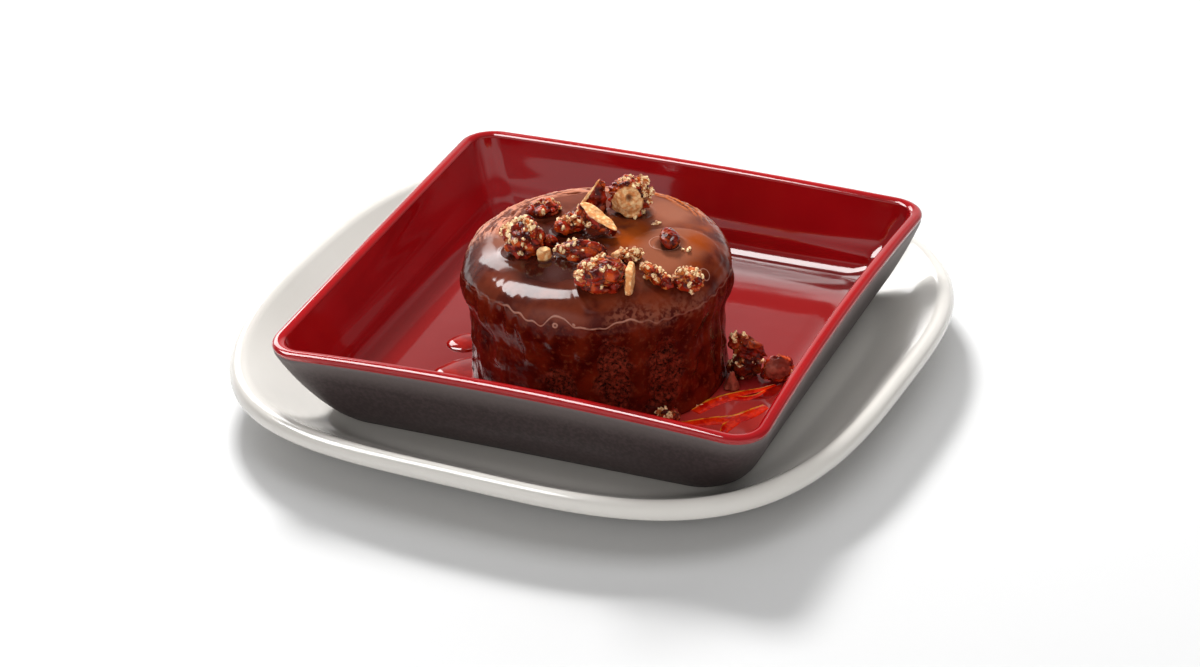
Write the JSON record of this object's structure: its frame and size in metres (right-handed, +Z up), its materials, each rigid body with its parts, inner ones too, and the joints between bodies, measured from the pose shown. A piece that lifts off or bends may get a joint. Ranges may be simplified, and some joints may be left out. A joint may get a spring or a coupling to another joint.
{
  "type": "sticky toffee pudding in a dish",
  "caption": "Round toffee pudding under dark sauce, topped with candied pecan pieces, in a square glazed dish on a rounded white plate.",
  "frame": {"origin": "on the table, under the middle of the plate's square outline", "axes": "+Z up, +X to the plate's right side, -Y to its near side; the picture was taken from the near right"},
  "size_m": [0.208, 0.208, 0.0723],
  "materials": {
    "white_glaze": "off-white glossy glaze",
    "red_glaze": "deep red glossy glaze inside and on the rim; satin grey-brown outside",
    "toffee_sauce": "wet glossy toffee sauce over sponge",
    "candied_nut": "sugar-crusted, glossy",
    "cut_nut": "dry cut nut"
  },
  "bodies": {
    "root": {"plate": "white_glaze", "dish": "red_glaze", "pudding": "toffee_sauce", "pecan_back": "candied_nut", "pecan_left": "candied_nut", "pecan_upright": "candied_nut", "pecan_middle": "candied_nut", "pecan_crusted": "candied_nut", "pecan_bit": "candied_nut", "pecan_half": "candied_nut", "pecan_front": "candied_nut", "pecan_oval": "candied_nut", "pecan_floor_base": "candied_nut", "pecan_floor_chunk": "candied_nut", "pecan_floor_ridged": "candied_nut", "pecan_floor_tip": "candied_nut", "pecan_floor_near": "candied_nut", "pecan_slice_long": "cut_nut", "pecan_slice_small": "cut_nut", "pecan_crumbly": "cut_nut", "pecan_slice_front": "cut_nut", "pecan_split": "cut_nut", "pecan_cluster": "cut_nut"}
  },
  "joints": []
}
